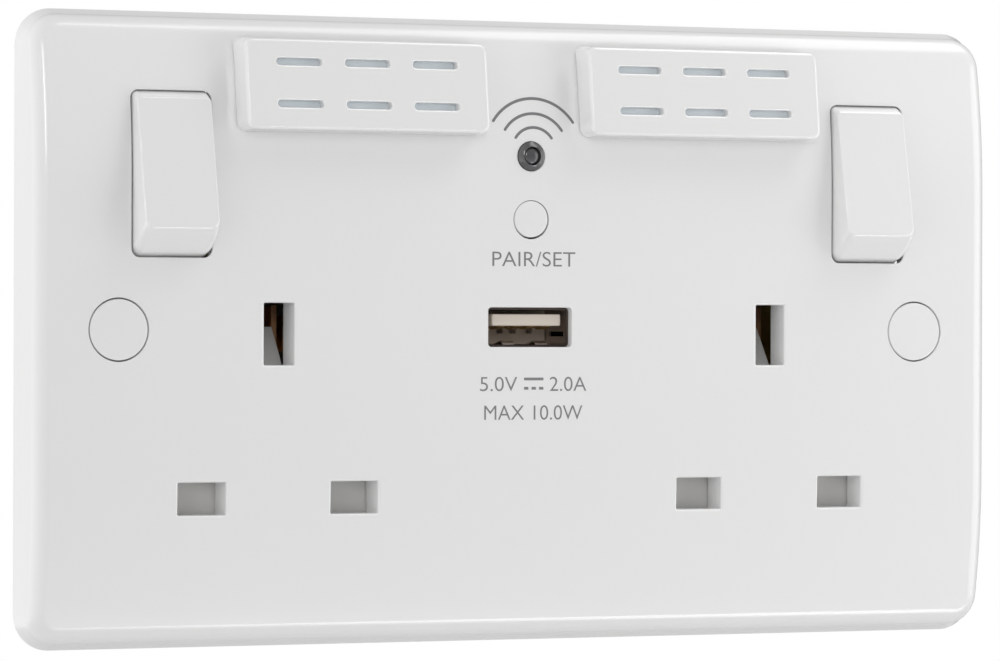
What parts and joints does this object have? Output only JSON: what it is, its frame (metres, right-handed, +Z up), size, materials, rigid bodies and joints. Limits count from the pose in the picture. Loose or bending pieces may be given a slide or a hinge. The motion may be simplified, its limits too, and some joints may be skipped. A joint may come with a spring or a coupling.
{
  "type": "wifi range extender",
  "caption": "Double switched wall socket plate with a built-in wireless range extender, antenna covers, pairing button and USB charging port.",
  "frame": {"origin": "centre of the faceplate on the wall plane", "axes": "+Z up, -Y out of the wall towards the room, +Y into the wall box, +X to the right seen from the front"},
  "size_m": [0.146, 0.0376, 0.086],
  "materials": {
    "white_plastic": "satin moulded urea, smooth",
    "grey_lens": "smoked, glossy",
    "backing_plastic": "fine spark-eroded texture",
    "shutter_plastic": "plain moulded",
    "slot_film": "smooth translucent film",
    "circuit_board": "solder mask",
    "black_plastic": "moulded",
    "cream_insulator": "moulded insulator",
    "winding_tape": "polyester tape",
    "capacitor_sleeve": "shrunk sleeve",
    "plated_steel": "zinc or nickel plated",
    "brass": "pressed, slightly dull",
    "copper": "phosphor bronze strip",
    "gold_plate": "gold flash"
  },
  "bodies": {
    "socket": {"antenna_cover_left": "white_plastic", "antenna_cover_right": "white_plastic", "antenna_left": "circuit_board", "antenna_right": "circuit_board", "board_header": "black_plastic", "bulk_capacitor": "capacitor_sleeve", "earth_strap": "copper", "fixing_screw_left": "plated_steel", "fixing_screw_right": "plated_steel", "front_plate": "white_plastic", "housing_screw_1": "plated_steel", "housing_screw_2": "plated_steel", "housing_screw_3": "plated_steel", "housing_screw_4": "plated_steel", "led_bezel": "grey_lens", "light_pipe": "grey_lens", "line_strap": "brass", "live_contact_left": "brass", "live_contact_right": "brass", "neutral_strap": "brass", "output_capacitor": "capacitor_sleeve", "power_board": "circuit_board", "rear_housing": "backing_plastic", "screw_cap_left": "white_plastic", "screw_cap_right": "white_plastic", "slot_film_left": "slot_film", "slot_film_right": "slot_film", "status_led": "cream_insulator", "tact_switch": "black_plastic", "terminal_earth_left": "brass", "terminal_earth_right": "brass", "terminal_line": "brass", "terminal_neutral": "brass", "terminal_screw_earth_left": "plated_steel", "terminal_screw_earth_right": "plated_steel", "terminal_screw_line": "plated_steel", "terminal_screw_neutral": "plated_steel", "transformer": "winding_tape", "usb_contact_1": "gold_plate", "usb_contact_2": "gold_plate", "usb_contact_3": "gold_plate", "usb_contact_4": "gold_plate", "usb_shell": "plated_steel", "usb_tongue": "cream_insulator", "wifi_board": "circuit_board", "wifi_shield": "plated_steel"},
    "rocker_left": {"rocker_left": "white_plastic", "plunger_left": "backing_plastic", "plunger_spring_left": "plated_steel"},
    "switch_contact_left": {"moving_contact_left": "copper"},
    "shutter_left": {"shutter_left": "shutter_plastic", "shutter_spring_left": "plated_steel"},
    "rocker_right": {"rocker_right": "white_plastic", "plunger_right": "backing_plastic", "plunger_spring_right": "plated_steel"},
    "switch_contact_right": {"moving_contact_right": "copper"},
    "shutter_right": {"shutter_right": "shutter_plastic", "shutter_spring_right": "plated_steel"},
    "pairing_button": {"pairing_button": "white_plastic"}
  },
  "joints": [
    {"name": "rocker_left_tilt", "type": "hinge", "parent": "socket", "child": "rocker_left", "pos_m": [-0.05275, -0.0009, 0.02075], "axis": [1, 0, 0], "range_deg": [0, 23.2]},
    {"name": "switch_contact_left_tilt", "type": "hinge", "parent": "socket", "child": "switch_contact_left", "pos_m": [-0.05275, 0.0102, 0.02075], "axis": [1, 0, 0], "range_deg": [-20.2, 0.2]},
    {"name": "shutter_left_slide", "type": "slide", "parent": "socket", "child": "shutter_left", "axis": [0, 0, -1], "range_m": [0, 0.006], "stiffness_N_per_m": 60, "springref_m": -0.004, "deforming": ["shutter_spring_left"]},
    {"name": "rocker_right_tilt", "type": "hinge", "parent": "socket", "child": "rocker_right", "pos_m": [0.05275, -0.0009, 0.02075], "axis": [1, 0, 0], "range_deg": [0, 23.2]},
    {"name": "switch_contact_right_tilt", "type": "hinge", "parent": "socket", "child": "switch_contact_right", "pos_m": [0.05275, 0.0102, 0.02075], "axis": [1, 0, 0], "range_deg": [-20.2, 0.2]},
    {"name": "shutter_right_slide", "type": "slide", "parent": "socket", "child": "shutter_right", "axis": [0, 0, -1], "range_m": [0, 0.006], "stiffness_N_per_m": 60, "springref_m": -0.004, "deforming": ["shutter_spring_right"]},
    {"name": "pairing_button_press", "type": "slide", "parent": "socket", "child": "pairing_button", "axis": [0, 1, 0], "range_m": [0, 0.0005], "stiffness_N_per_m": 600, "springref_m": -0.0006}
  ],
  "couplings": [
    {"joint": "switch_contact_left_tilt", "follows": "rocker_left_tilt", "ratio": -0.8621},
    {"joint": "switch_contact_right_tilt", "follows": "rocker_right_tilt", "ratio": -0.8621}
  ]
}
